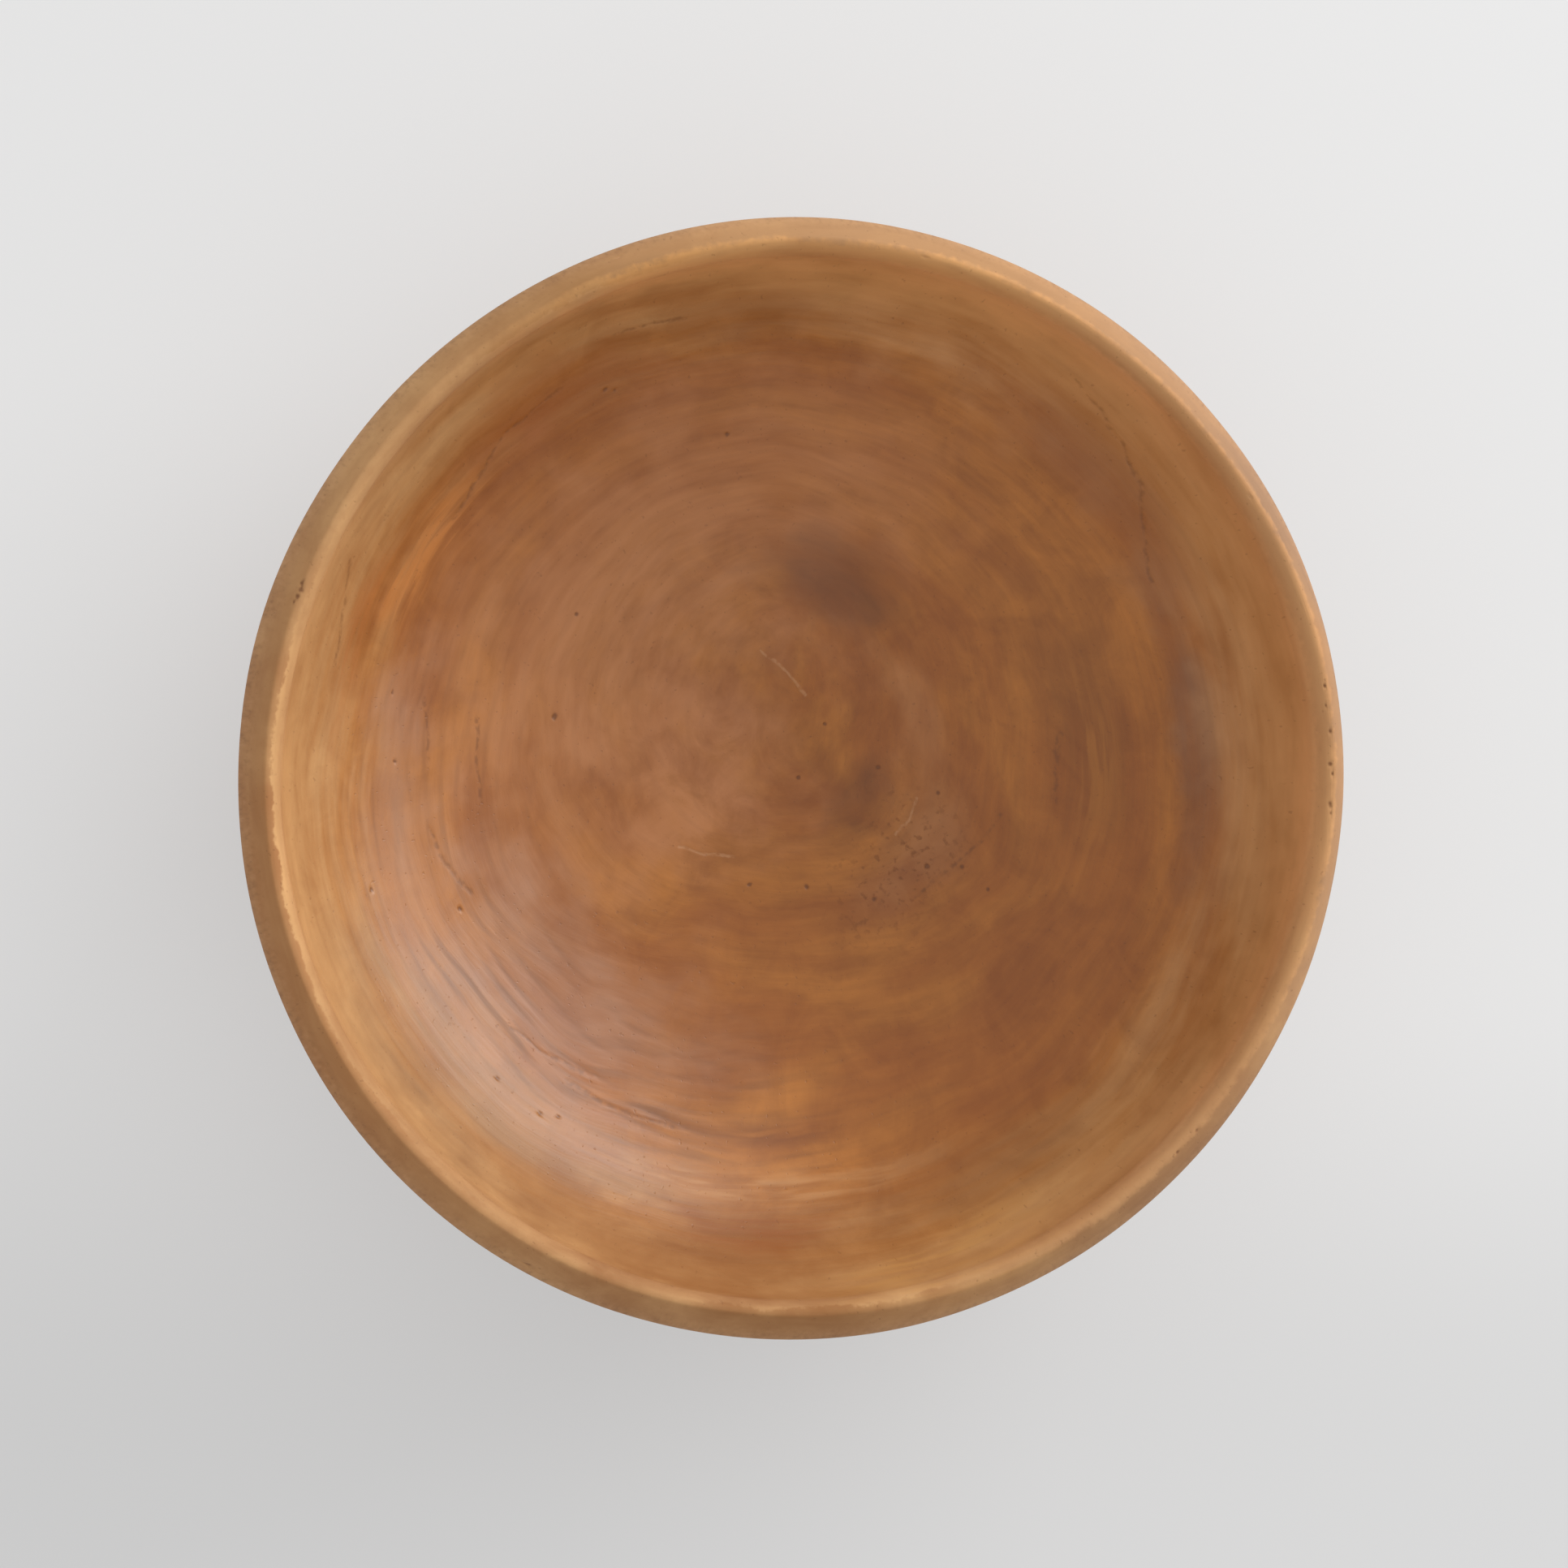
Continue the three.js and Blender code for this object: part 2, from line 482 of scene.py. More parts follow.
def newGroup(name, takes, gives):
    tree = bpy.data.node_groups.new(name, "ShaderNodeTree")
    for socket, kind in takes.items():
        tree.interface.new_socket(name=socket, in_out="INPUT", socket_type="NodeSocket" + kind)
    for socket, kind in gives.items():
        tree.interface.new_socket(name=socket, in_out="OUTPUT", socket_type="NodeSocket" + kind)
    return tree, tree.nodes.new("NodeGroupInput").outputs, tree.nodes.new("NodeGroupOutput").inputs


def useGroup(tree, group, values):
    return put(tree, "Group", values, node_tree=group).outputs


acrossOnly = (1, 1, 0)  # times this, a place loses its height

# how the log grew, in mm
log = {
    "pith": (-11.0, 18.5, 0.0),
    "pithReach": (45.0, 122.0),  # from here outwards the rings swing over to the middle of the bowl
    "bends": [(110.0, 11.0), (46.0, 7.0), (20.0, 1.3), (8.0, 0.3)],  # in the rings: size and reach
    "rimBends": 0.35,  # share of the bends that is left towards the rim
    "calm": (1.0, 18.0),  # little figure right at the pith
    "rise": 70.0,  # up the log the figure changes this slowly
    "bands": {"width": 21.0, "turns": 1.2, "detail": 2.0},
    "strokes": {"width": 6.0, "turns": 2.4, "detail": 3.0},
    "lines": {"width": 1.8, "turns": 4.5, "detail": 2.0},
    "fibre": {"width": 0.5, "turns": 10.0, "detail": 1.0},
    "roughness": 0.55,  # of these four
    "contrast": (0.25, 0.75),
    "ringSpacing": 5.2,
    "ringWander": 2.4,  # in rings, with the bands
    "ringWidth": (0.2, 1.0),  # of the wave from ring to ring
    "ringBreaks": (0.44, 0.6),  # a ring shows where the strokes are stronger than this
    "smears": {"size": 15.0, "detail": 5.0, "roughness": 0.62, "distortion": 0.7},  # across the rings
    "smearContrast": (0.28, 0.72),
}


def makeLogFigure():
    names = ("Bands", "Strokes", "Lines", "Fibre", "Rings", "Smears")
    tree, given, made = newGroup("logFigure", {"Place": "Vector"}, {name: "Float" for name in names})
    near, far = log["pithReach"]
    out = vec(tree, "LENGTH", vec(tree, "MULTIPLY", given["Place"], acrossOnly))
    central = fade(tree, out, far, near)
    place = vec(tree, "SUBTRACT", given["Place"], vec(tree, "SCALE", log["pith"], Scale=central))
    bending = calc(tree, "MULTIPLY_ADD", central, 1 - log["rimBends"], log["rimBends"])
    for size, reach in log["bends"]:
        values = {"Vector": given["Place"], "Scale": 1 / size, "Detail": 1.0}
        bend = vec(tree, "SUBTRACT", put(tree, "TexNoise", values).outputs["Color"], (0.5, 0.5, 0.5))
        push = vec(tree, "SCALE", bend, Scale=calc(tree, "MULTIPLY", bending, 2 * reach))
        place = vec(tree, "ADD", place, push)
    parts = put(tree, "SeparateXYZ", {0: place}).outputs
    flat = put(tree, "CombineXYZ", {0: parts[0], 1: parts[1]}).outputs[0]
    reach = vec(tree, "LENGTH", flat)
    side = put(tree, "SeparateXYZ", {0: vec(tree, "NORMALIZE", flat)}).outputs
    rise = calc(tree, "DIVIDE", parts[2], log["rise"])
    calm = fade(tree, reach, *log["calm"])
    found = {}
    for name in ("bands", "strokes", "lines", "fibre"):
        kind = log[name]
        spot = put(tree, "CombineXYZ", {
            0: calc(tree, "DIVIDE", reach, kind["width"]),
            1: calc(tree, "MULTIPLY_ADD", side[0], kind["turns"], rise),
            2: calc(tree, "MULTIPLY_ADD", side[1], kind["turns"], rise),
        }).outputs[0]
        found[name] = speckle(tree, spot, 1.0, kind["detail"], Roughness=log["roughness"])
        swing = calc(tree, "SUBTRACT", fade(tree, found[name], *log["contrast"]), 0.5)
        tree.links.new(calc(tree, "MULTIPLY_ADD", swing, calm, 0.5), made[name.capitalize()])
    count = calc(tree, "DIVIDE", reach, log["ringSpacing"])
    count = calc(tree, "MULTIPLY_ADD", found["bands"], log["ringWander"], count)
    wave = calc(tree, "SINE", calc(tree, "MULTIPLY", count, math.tau))
    broken = fade(tree, found["strokes"], *log["ringBreaks"])
    tree.links.new(times(tree, fade(tree, wave, *log["ringWidth"]), broken, calm), made["Rings"])
    kind = log["smears"]
    rough = {"Roughness": kind["roughness"], "Distortion": kind["distortion"]}
    smears = speckle(tree, place, 1 / kind["size"], kind["detail"], **rough)
    tree.links.new(fade(tree, smears, *log["smearContrast"]), made["Smears"])
    return tree


spotEdge = (1.0, 0.15)  # shares of a patch's size: where it ends and where it is full


# a soft patch that runs along the rings, for the stains and for the painted light and shade
def makeStainAndShadeSpot():
    takes = {"Place": "Vector", "Centre": "Vector", "Along": "Float", "Across": "Float", "Ragged": "Float"}
    tree, given, made = newGroup("stainAndShadeSpot", takes, {"Mask": "Float"})
    ends = [vec(tree, "MULTIPLY", given[name], acrossOnly) for name in ("Place", "Centre")]
    apart = vec(tree, "DISTANCE", *(vec(tree, "NORMALIZE", end) for end in ends))
    out, centreOut = (vec(tree, "LENGTH", end) for end in ends)
    middle = calc(tree, "SQRT", calc(tree, "MULTIPLY", out, centreOut))
    along = calc(tree, "DIVIDE", calc(tree, "MULTIPLY", apart, middle), given["Along"])
    across = calc(tree, "DIVIDE", calc(tree, "SUBTRACT", out, centreOut), given["Across"])
    gap = calc(tree, "ADD", calc(tree, "MULTIPLY", along, along), calc(tree, "MULTIPLY", across, across))
    gap = calc(tree, "ADD", calc(tree, "SQRT", gap), given["Ragged"])
    tree.links.new(fade(tree, gap, *spotEdge), made["Mask"])
    return tree


oiledWood = {
    "heartDark": (128, 71, 19),
    "heartLight": (194, 124, 50),
    "redColour": (150, 80, 28),
    "sapDark": (154, 104, 60),
    "sapLight": (204, 158, 106),
    # also the colour of the painted shade in the tool marks
    "ringAndShadeColour": (98, 58, 28),
    "pitColour": (106, 60, 28),
    # pale wood in chips and outside streaks, and the painted highlight along crack edges
    "paleWoodAndGlintColour": (206, 156, 112),
    # colour of the painted highlight along the crest
    "crestHighlightColour": (212, 164, 108),
    "clouds": (0.06, 3.0),  # noise in the wood: how fine, how detailed
    "crumbs": (0.5, 3.0),
    "toneShares": {"Bands": 0.24, "Strokes": 0.28, "Lines": 0.1, "Fibre": 0.05, "Smears": 0.3},
    "crumbTone": 0.1,
    "redBands": ((0.8, 0.2), 0.35),  # the bands that turn red, and how far
    "sapCentre": (1.7, 7.8, 0.0),
    "sapFrom": 126.0,  # mm out to the lighter sapwood
    "sapFade": 16.0,
    "sapRagged": 14.0,
    "grains": {"broad": (0.7, 0.45), "fine": (0.85, 0.15), "cloudy": (0.9, 0.4)},  # streaky and even share
    "fineContrast": (0.3, 0.68),
    "stainsAndShade": {  # place, reach along and across the rings in mm, colour, strength, grain; most are the wood's own stains, some are painted light and shade
        "paleHeart": ((-62, -6), (100, 62), (194, 133, 86), 0.72, "broad"),
        "paleMiddle": ((-16, -12), (42, 36), (196, 133, 86), 0.6, "cloudy"),
        "paleAbove": ((-60, 66), (80, 34), (192, 128, 76), 0.6, "broad"),
        "smokeAbove": ((-22, 56), (32, 15), (98, 54, 24), 0.5, "broad"),
        "smokeCore": ((-14, 54), (27, 13), (104, 56, 26), 0.34, "cloudy"),
        "paleArc": ((20, 45), (38, 7), (188, 128, 76), 0.6, "broad"),
        "smokeBeside": ((26, 15), (19, 11), (92, 50, 20), 0.45, "cloudy"),
        "paleTorn": ((46, 18), (32, 18), (172, 120, 76), 0.4, "cloudy"),
        "smokeRight": ((54, 74), (46, 18), (108, 60, 22), 0.45, "broad"),
        "goldRight": ((66, 65), (36, 9), (186, 122, 50), 0.45, "fine"),
        "plumRight": ((76, 90), (54, 8), (114, 78, 60), 0.7, "broad"),
        # painted fill light: the upper right wall under the rim is lifted out of its shade
        "paleRight": ((32, 134), (210, 28), (200, 146, 94), 0.85, "broad"),
        "plumUpper": ((17, 123), (50, 13), (142, 80, 30), 0.6, "broad"),
        # painted shade: the top wall is darker where it faces away from the light
        "tanTop": ((-92, 85), (34, 9), (124, 68, 28), 0.4, "broad"),
        "amberLeft": ((-113, -20), (36, 11), (206, 132, 64), 0.7, "fine"),
        "orangeLeft": ((-112, -48), (46, 6), (166, 92, 36), 0.4, "fine"),
        "amberUpper": ((-118, 32), (44, 14), (160, 88, 36), 0.5, "broad"),
        "tanLower": ((0, -119), (90, 28), (134, 96, 64), 0.6, "broad"),
        # partly painted sheen: the hollow is greyer where the oil's sheen lies, partly a paler heart
        "greyLeft": ((-67, -80), (60, 16), (172, 130, 104), 0.5, "broad"),
        "greyLower": ((-4, -80), (70, 26), (178, 138, 114), 0.5, "broad"),
        "rustLower": ((72, -108), (76, 22), (128, 72, 26), 0.7, "broad"),
        "umberLower": ((114, -42), (64, 17), (126, 74, 28), 0.5, "broad"),
        "umberFoot": ((66, -72), (60, 5), (112, 60, 24), 0.55, "fine"),
        "paleFoot": ((74, -84), (56, 6), (206, 158, 108), 0.5, "fine"),
        "rustFoot": ((74, -97), (46, 9), (146, 82, 34), 0.6, "fine"),
        "goldFoot": ((122, -61), (56, 11), (196, 144, 80), 0.5, "fine"),
    },
    "rimRagged": (3.4, 5.0),  # mm that crumbs and clouds move the edges of the parts of the rim
    "rimParts": {  # mm in from the crest: each part fades in over these stretches
        "outer": [(2.4, 1.2)],
        "brow": [(1.0, -1.8)],
        "lip": [(42.0, 8.0), (1.2, 2.4)],
        "ledge": [(42.0, 8.0), (-1.8, 1.0)],
        # edge and under carry painted shade on the lip's shoulder and painted light on the wall under it
        "edge": [(-1.6, 0.4), (6.5, 3.0)],
        "under": [(4.0, 9.0), (27.0, 10.0)],
    },
    "rimTonesAndShade": {  # as the stains, with a part of the rim: the rim's own tones, with painted shade on the outer band's shadow side (rimDark, rimOlive, rimFront), painted light on the inner lip and the wall under it (lipPale, lipTan, lipFront, underRight, underFront), and painted shade on the shoulder that the light catches (edgeRight, edgeFront)
        "rimDark": ((-66, -129), (150, 60), (160, 104, 56), 0.7, "outer"),
        "rimOlive": ((-134, 54), (75, 60), (150, 104, 54), 0.6, "outer"),
        "rimFront": ((100, -105), (80, 60), (142, 90, 42), 0.6, "outer"),
        "rimSide": ((143, -5), (70, 60), (141, 96, 59), 0.7, "brow"),
        "rimPale": ((40, 138), (190, 60), (152, 115, 84), 0.95, "brow"),
        "rimTop": ((-72, 123), (110, 60), (170, 126, 82), 0.8, "brow"),
        "lipPale": ((71, 124), (170, 60), (216, 158, 104), 0.75, "ledge"),
        "lipTan": ((-92, 110), (120, 60), (220, 158, 92), 0.65, "ledge"),
        "lipLeft": ((-104, -97), (90, 60), (226, 174, 114), 0.4, "lip"),
        "lipFront": ((143, -5), (80, 60), (204, 152, 102), 0.55, "ledge"),
        "edgeRight": ((42, 137), (130, 60), (166, 120, 78), 0.6, "edge"),
        "edgeFront": ((142, -12), (90, 60), (172, 122, 78), 0.5, "edge"),
        "underRight": ((-19, 137), (190, 60), (238, 178, 120), 0.55, "under"),
        "underFront": ((132, 43), (70, 60), (238, 178, 120), 0.5, "under"),
    },
    "crest": {"at": 1.4, "width": (2.2, 0.4), "patches": (0.35, 0.65), "share": 0.12},  # a painted highlight line along the crest
    # ring lines drawn darker in this zone: partly the wood's rings, partly painted shade of the tool
    # ridges at the edge of the sheen
    "darkRings": {"at": (7, -94), "size": (105, 22), "share": 0.36, "elsewhere": 0.06},
    # share of the painted shade in the troughs of the tool marks
    "toolShadeShare": 0.5,
    "seams": {"crumbs": (0.35, 0.6), "share": 0.42},
    "pores": {"stretch": (0.9, 0.9, 0.12), "detail": 1.0, "size": (0.68, 0.8), "share": 0.25},
    "streaks": {  # the outside is cut along the log
        "stretch": (0.75, 0.75, 0.03),
        "detail": 4.0,
        "rimEnd": (-2.0, -14.0),  # mm in from the crest
        "footEnd": (-100.0, -30.0),
        "shades": [((0.5, 0.72), 0.28, "ringAndShadeColour"), ((0.5, 0.28), 0.22, "paleWoodAndGlintColour")],
    },
    "tornGrain": {"at": (46, 10), "size": (36, 24), "crumbs": (0.55, 0.7), "share": 0.5, "rough": 0.2},
    "pitShare": 0.7,
    "paleMarks": {"crumbs": (0.3, 0.6), "share": 0.4},
    "markEdge": (0.0, 0.8),  # of pits, chips and light lines
    "dryRim": ((12.0, 4.0), 0.42),  # mm in from the crest, and how much rougher
    "sheenShares": {"Fibre": 0.4, "Strokes": 0.6},
    "inside": {"roughness": (0.36, 0.45)},
    "under": {"roughness": (0.5, 0.64)},
    "reliefShares": {"Fibre": 0.2, "Lines": 0.25, "Strokes": 0.45},
    "poreRelief": -0.8,
    "tornRelief": -2.0,
    "relief": {"Strength": 0.35, "Distance": 0.15 * mm},
}


def makeWood(name, finish, figure, stainAndShadeSpot):
    wood = bpy.data.materials.new(name)
    wood.use_nodes = True
    tree = wood.node_tree
    shader = tree.nodes["Principled BSDF"]
    place = vec(tree, "MULTIPLY", put(tree, "TexCoord").outputs["Object"], (1 / mm,) * 3)
    grain = useGroup(tree, figure, {"Place": place})
    colourNames = [key for key in oiledWood if key.endswith(("Dark", "Light", "Colour"))]
    paint = {key: screenColour(*oiledWood[key]) for key in colourNames}
    lip, pit, chipAndGlint, seam, toolShade = (
        put(tree, "Attribute", attribute_name=layer).outputs["Fac"]
        for layer in ("lip", "pit", "chipAndGlint", "seam", "toolShade")
    )
    clouds = speckle(tree, place, *oiledWood["clouds"])
    crumbs = speckle(tree, place, *oiledWood["crumbs"])
    ragged = calc(tree, "SUBTRACT", clouds, 0.5)

    def mixed(shares, start=0.0):
        for layer, share in shares.items():
            start = calc(tree, "MULTIPLY_ADD", grain[layer], share, start)
        return start

    def zone(at, size):
        along, across = size
        sockets = {"Place": place, "Centre": (*at, 0), "Along": along, "Across": across, "Ragged": ragged}
        return useGroup(tree, stainAndShadeSpot, sockets)["Mask"]

    def over(mask, share, shade):
        return blendColour(tree, calc(tree, "MULTIPLY", mask, share), colour, shade)

    # heartwood and sapwood
    tone = mixed(oiledWood["toneShares"], calc(tree, "MULTIPLY", crumbs, oiledWood["crumbTone"]))
    colour = blendColour(tree, tone, paint["heartDark"], paint["heartLight"])
    bands, share = oiledWood["redBands"]
    colour = over(fade(tree, grain["Bands"], *bands), share, paint["redColour"])
    sap = blendColour(tree, tone, paint["sapDark"], paint["sapLight"])
    fromSap = vec(tree, "MULTIPLY", vec(tree, "SUBTRACT", place, oiledWood["sapCentre"]), acrossOnly)
    swing = calc(tree, "SUBTRACT", grain["Strokes"], 0.5)
    out = calc(tree, "MULTIPLY_ADD", swing, oiledWood["sapRagged"], vec(tree, "LENGTH", fromSap))
    start, spread = oiledWood["sapFrom"], oiledWood["sapFade"]
    colour = blendColour(tree, fade(tree, out, start - spread, start + spread), colour, sap)

    # stains in the hollow, some of them painted light and shade, and tones on the parts of the rim, partly
    # painted light and shade
    fine = calc(tree, "MULTIPLY", calc(tree, "ADD", grain["Strokes"], grain["Lines"]), 0.5)
    fine = fade(tree, fine, *oiledWood["fineContrast"])
    grains = {}
    for kind, layer in (("broad", grain["Strokes"]), ("fine", fine), ("cloudy", grain["Smears"])):
        grains[kind] = calc(tree, "MULTIPLY_ADD", layer, *oiledWood["grains"][kind])
    for at, size, shade, strength, kind in oiledWood["stainsAndShade"].values():
        colour = over(times(tree, zone(at, size), grains[kind]), strength, screenColour(*shade))
    crumbMove, cloudMove = oiledWood["rimRagged"]
    lipEdge = calc(tree, "MULTIPLY_ADD", calc(tree, "SUBTRACT", crumbs, 0.5), crumbMove, lip)
    lipEdge = calc(tree, "MULTIPLY_ADD", ragged, cloudMove, lipEdge)
    parts = {}
    for part, stretches in oiledWood["rimParts"].items():
        parts[part] = times(tree, *(fade(tree, lipEdge, *stretch) for stretch in stretches))
    # the rim's tones, partly painted light and shade
    for at, size, shade, strength, part in oiledWood["rimTonesAndShade"].values():
        mask = times(tree, zone(at, size), grains["broad"], parts[part])
        colour = over(mask, strength, screenColour(*shade))
    # a painted highlight line along the crest
    crestGlint = oiledWood["crest"]
    crest = calc(tree, "ABSOLUTE", calc(tree, "SUBTRACT", lipEdge, crestGlint["at"]))
    crest = times(tree, fade(tree, crest, *crestGlint["width"]), fade(tree, clouds, *crestGlint["patches"]))
    colour = over(crest, crestGlint["share"], paint["crestHighlightColour"])

    # ring lines, pores, streaks and marks, with painted shade in the tool marks and a painted highlight
    # along crack edges
    # ring lines, darker in one zone, partly as painted shade of the tool ridges
    rings = oiledWood["darkRings"]
    darkZone = zone(rings["at"], rings["size"])
    share = calc(tree, "MULTIPLY_ADD", darkZone, rings["share"], rings["elsewhere"])
    colour = over(grain["Rings"], share, paint["ringAndShadeColour"])
    # painted shade in the troughs of the tool marks
    colour = over(toolShade, oiledWood["toolShadeShare"], paint["ringAndShadeColour"])
    seams = oiledWood["seams"]
    dark = times(tree, fade(tree, seam, 0.0, 1.0), fade(tree, crumbs, *seams["crumbs"]))
    colour = over(dark, seams["share"], paint["ringAndShadeColour"])
    kind = oiledWood["pores"]
    pores = speckle(tree, vec(tree, "MULTIPLY", place, kind["stretch"]), 1.0, kind["detail"])
    pores = fade(tree, pores, *kind["size"])
    colour = over(pores, kind["share"], paint["ringAndShadeColour"])
    kind = oiledWood["streaks"]
    streaks = speckle(tree, vec(tree, "MULTIPLY", place, kind["stretch"]), 1.0, kind["detail"])
    outside = times(tree, fade(tree, lip, *kind["rimEnd"]), fade(tree, lip, *kind["footEnd"]))
    for ends, share, shade in kind["shades"]:
        colour = over(times(tree, fade(tree, streaks, *ends), outside), share, paint[shade])
    kind = oiledWood["tornGrain"]
    torn = times(tree, zone(kind["at"], kind["size"]), fade(tree, crumbs, *kind["crumbs"]))
    colour = over(torn, kind["share"], paint["pitColour"])
    colour = over(fade(tree, pit, *oiledWood["markEdge"]), oiledWood["pitShare"], paint["pitColour"])
    # pale chips, and light lines painted as the highlight on crack edges
    kind = oiledWood["paleMarks"]
    light = fade(tree, chipAndGlint, *oiledWood["markEdge"])
    light = times(tree, light, fade(tree, crumbs, *kind["crumbs"]))
    colour = over(light, kind["share"], paint["paleWoodAndGlintColour"])
    tree.links.new(colour, shader.inputs["Base Color"])

    # oil sheen and relief
    low, high = finish["roughness"]
    sheen = {"Value": mixed(oiledWood["sheenShares"]), "To Min": low, "To Max": high}
    stretch, rougher = oiledWood["dryRim"]
    rough = put(tree, "MapRange", sheen).outputs[0]
    rough = calc(tree, "MULTIPLY_ADD", fade(tree, lip, *stretch), rougher, rough)
    rough = calc(tree, "MULTIPLY_ADD", torn, oiledWood["tornGrain"]["rough"], rough)
    tree.links.new(rough, shader.inputs["Roughness"])
    height = calc(tree, "MULTIPLY_ADD", pores, oiledWood["poreRelief"], mixed(oiledWood["reliefShares"]))
    height = calc(tree, "MULTIPLY_ADD", torn, oiledWood["tornRelief"], height)
    bump = put(tree, "Bump", {"Height": height, **oiledWood["relief"]}).outputs["Normal"]
    tree.links.new(bump, shader.inputs["Normal"])
    return wood


turnedBowl, bellyLevel = makeBowl()
logFigure, stainAndShadeSpot = makeLogFigure(), makeStainAndShadeSpot()
for name, side in (("hollowWood", "inside"), ("undersideWood", "under")):
    turnedBowl.data.materials.append(makeWood(name, oiledWood[side], logFigure, stainAndShadeSpot))
print("wood finished")

# the glued felt pads
felt = {
    "sides": 48,
    "edge": 0.6,
    "edgeSteps": 4,
    "sharpAngle": 40.0,  # degrees
    "colour": (74, 58, 46),
    "fibreColour": (112, 92, 74),
    "hairs": {"scale": 2600.0, "detail": 4.0, "Distortion": 1.5},
    "clumps": {"scale": 420.0, "detail": 2.0},
    "shares": (0.6, 0.4),  # hairs and clumps in the tone
    "contrast": (0.35, 0.7),
    "roughness": 0.95,
    "sheen": 0.3,
    "relief": {"Strength": 0.6, "Distance": 0.2 * mm},
}


def makeFelt():
    cloth = bpy.data.materials.new("pressedFelt")
    cloth.use_nodes = True
    tree = cloth.node_tree
    shader = tree.nodes["Principled BSDF"]
    place = put(tree, "TexCoord").outputs["Object"]
    hairs, clumps = (speckle(tree, place, **felt[kind]) for kind in ("hairs", "clumps"))
    hairShare, clumpShare = felt["shares"]
    tone = calc(tree, "MULTIPLY_ADD", hairs, hairShare, calc(tree, "MULTIPLY", clumps, clumpShare))
    dark, light = screenColour(*felt["colour"]), screenColour(*felt["fibreColour"])
    colour = blendColour(tree, fade(tree, tone, *felt["contrast"]), dark, light)
    tree.links.new(colour, shader.inputs["Base Color"])
    shader.inputs["Roughness"].default_value = felt["roughness"]
    shader.inputs["Sheen Weight"].default_value = felt["sheen"]
    bump = put(tree, "Bump", {"Height": tone, **felt["relief"]}).outputs["Normal"]
    tree.links.new(bump, shader.inputs["Normal"])
    return cloth


def makePad(node, cloth):
    low, high = (Vector(c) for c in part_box(node))
    middle = (low + high) / 2
    bm = bmesh.new()
    radius = (high.x - low.x) / 2
    disc = bmesh.ops.create_circle(bm, cap_ends=True, segments=felt["sides"], radius=radius)
    bmesh.ops.translate(bm, vec=(middle.x, middle.y, low.z), verts=disc["verts"])
    raised = bmesh.ops.extrude_face_region(bm, geom=bm.faces[:])["geom"]
    top = [v for v in raised if isinstance(v, bmesh.types.BMVert)]
    bmesh.ops.translate(bm, vec=(0, 0, high.z - low.z), verts=top)
    bmesh.ops.recalc_face_normals(bm, faces=bm.faces[:])
    lower = [edge for edge in bm.edges if all(vert.co.z < middle.z for vert in edge.verts)]
    bmesh.ops.bevel(
        bm, geom=lower, offset=felt["edge"] * mm, segments=felt["edgeSteps"], profile=0.5,
        affect="EDGES", material=-1,
    )
    for face in bm.faces:
        face.smooth = True
    mesh = bpy.data.meshes.new(node + "Felt")
    bm.to_mesh(mesh)
    bm.free()
    mesh.set_sharp_from_angle(angle=math.radians(felt["sharpAngle"]))
    mesh.materials.append(cloth)
    piece = bpy.data.objects.new(node + "Felt", mesh)
    scene.collection.objects.link(piece)
    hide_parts(node)
    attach(piece, "root")


pressedFelt = makeFelt()
for node in sorted(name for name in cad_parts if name.startswith("felt_pad")):
    makePad(node, pressedFelt)
print("pads cut")

# floor, light and camera
stage = {
    "floorColour": 0.78,
    "floorGlow": 0.78,  # what the camera sees of the evenly lit paper
    "glowShare": 0.54,
    "roughness": 0.9,
    "shade": (-0.05, -0.18, 0.89),  # the paper darkens from here to here, down to this share
    "farFloor": (0.6, 2.2, 0.3),  # outside the picture it is duller, in the same way
    "floorSize": 6.0,
    "worldStrength": 0.72,
    "keyFrom": (0.75, 0.62, 0.22),  # right, up and towards the camera in the picture
    "keyAim": 0.06,  # height that it points at
    "keyDistance": 2.4,
    "keySize": (2.2, 0.8),  # wide and low
    "keyPower": 53.0,
}


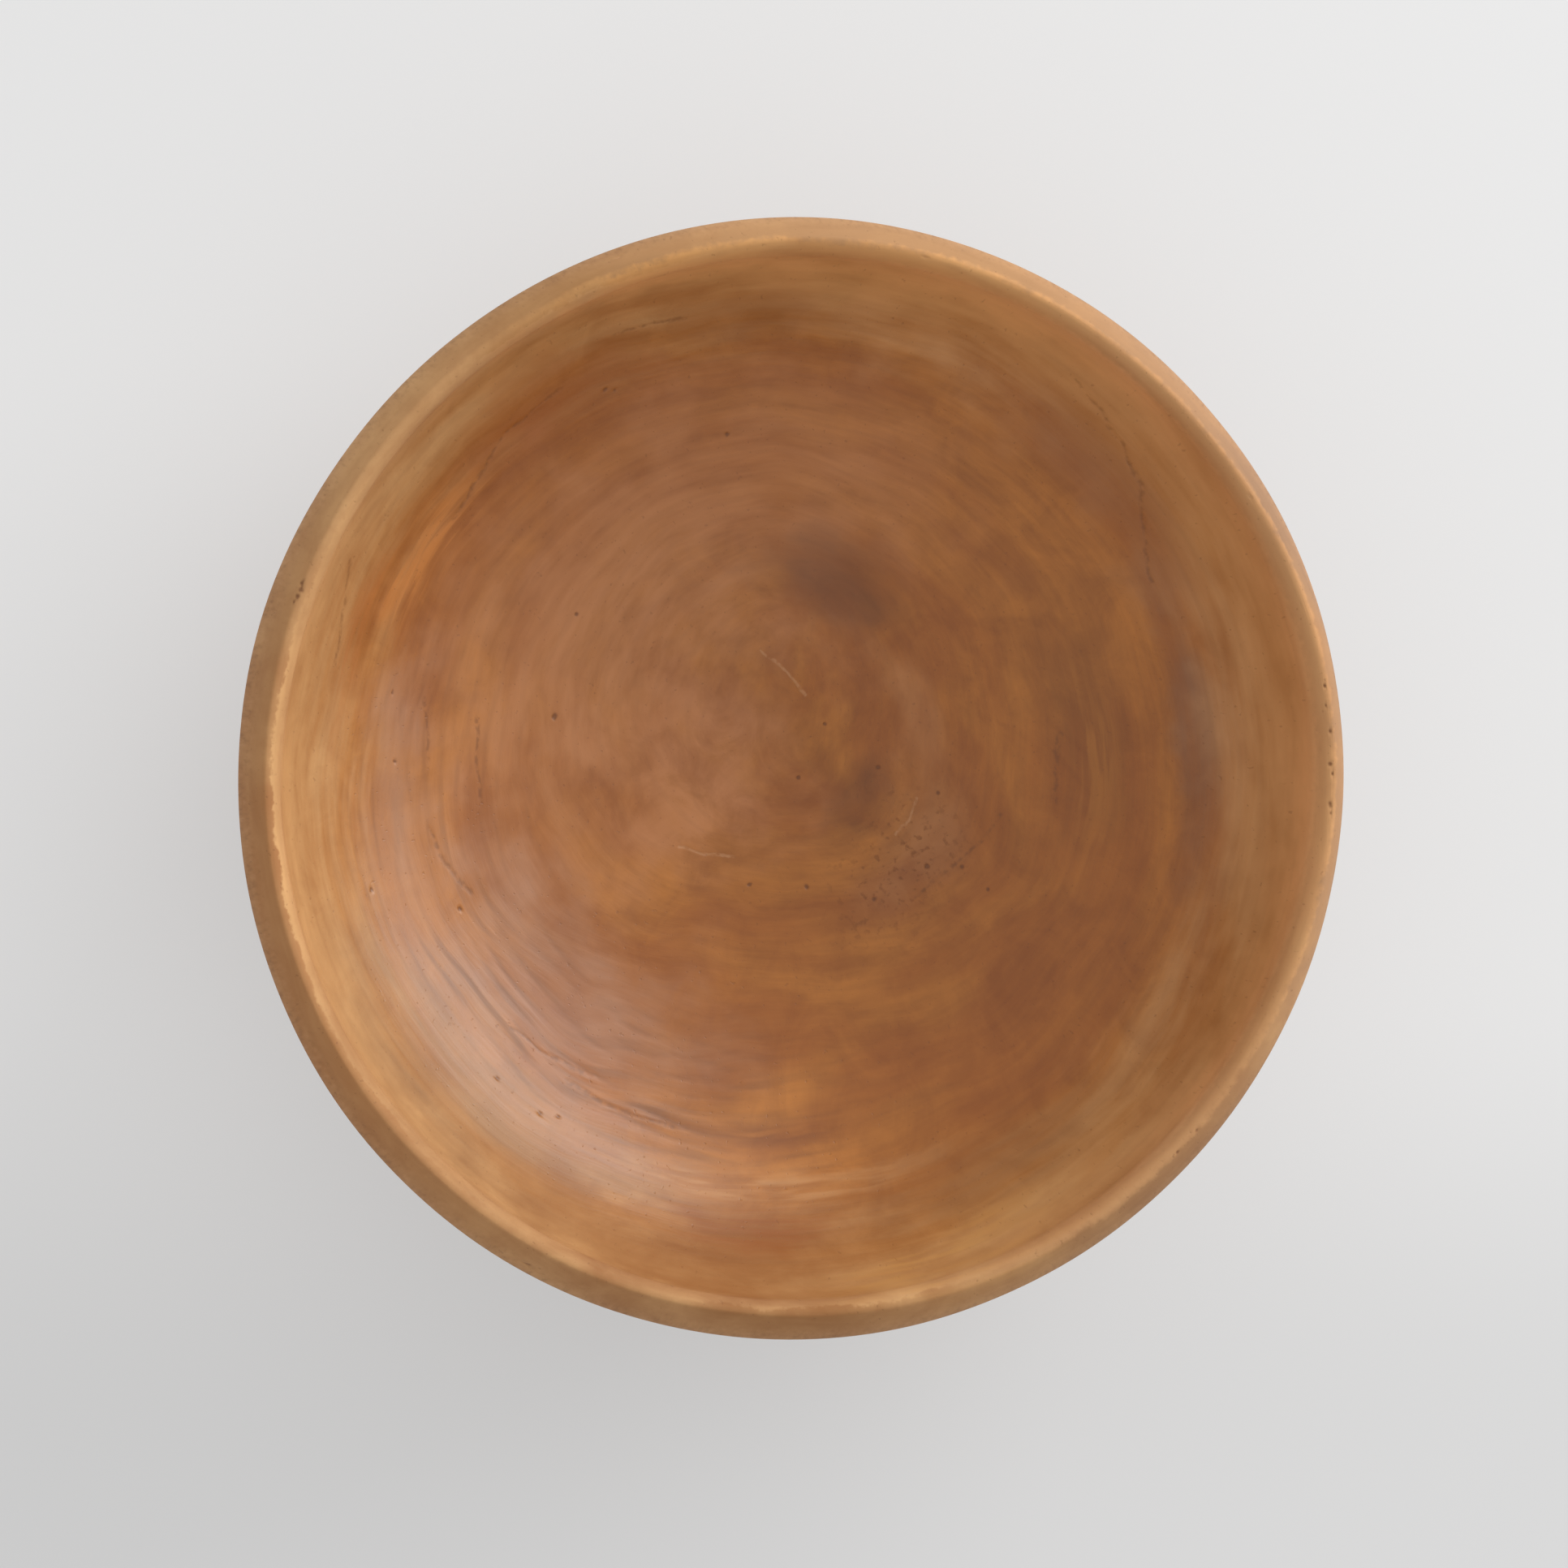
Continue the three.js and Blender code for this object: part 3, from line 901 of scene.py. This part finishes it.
def addStage():
    bm = bmesh.new()
    bmesh.ops.create_grid(bm, x_segments=2, y_segments=2, size=stage["floorSize"] / 2)
    mesh = bpy.data.meshes.new("paleFloor")
    bm.to_mesh(mesh)
    bm.free()
    floor = bpy.data.objects.new("paleFloor", mesh)
    scene.collection.objects.link(floor)
    paper = bpy.data.materials.new("palePaper")
    paper.use_nodes = True
    tree = paper.node_tree
    shader = tree.nodes["Principled BSDF"]
    shader.inputs["Roughness"].default_value = stage["roughness"]

    def dimmer(value, start, end, least):
        span = {"Value": value, "From Min": end, "From Max": start, "To Min": least}
        return put(tree, "MapRange", span, interpolation_type="SMOOTHSTEP").outputs[0]

    def grey(*values):
        level = times(tree, *values)
        return put(tree, "CombineColor", {0: level, 1: level, 2: level}).outputs[0]

    place = put(tree, "TexCoord").outputs["Object"]
    shade = dimmer(vec(tree, "DOT_PRODUCT", place, tuple(up)), *stage["shade"])
    dull = dimmer(vec(tree, "LENGTH", place), *stage["farFloor"])
    tree.links.new(grey(shade, dull, stage["floorColour"]), shader.inputs["Base Color"])
    glow = put(tree, "Emission", {"Color": grey(shade, stage["floorGlow"])}).outputs[0]
    share = calc(tree, "MULTIPLY", put(tree, "LightPath").outputs["Is Camera Ray"], stage["glowShare"])
    mixed = put(tree, "MixShader", {0: share, 1: shader.outputs[0], 2: glow}).outputs[0]
    tree.links.new(mixed, tree.nodes["Material Output"].inputs["Surface"])
    mesh.materials.append(paper)


def addLight():
    world = bpy.data.worlds.new("studio")
    world.use_nodes = True
    sky = world.node_tree.nodes["Background"]
    sky.inputs["Color"].default_value = (1, 1, 1, 1)
    sky.inputs["Strength"].default_value = stage["worldStrength"]
    scene.world = world
    data = bpy.data.lights.new("softKey", "AREA")
    data.shape = "RECTANGLE"
    data.size, data.size_y = stage["keySize"]
    data.energy = stage["keyPower"]
    key = bpy.data.objects.new("softKey", data)
    scene.collection.objects.link(key)
    direction = inPicture(*stage["keyFrom"]).normalized()
    key.location = Vector((0, 0, stage["keyAim"])) + direction * stage["keyDistance"]
    key.rotation_euler = direction.to_track_quat("Z", "Y").to_euler()


addStage()
addLight()
addCamera(bellyLevel)
print("stage and camera set")
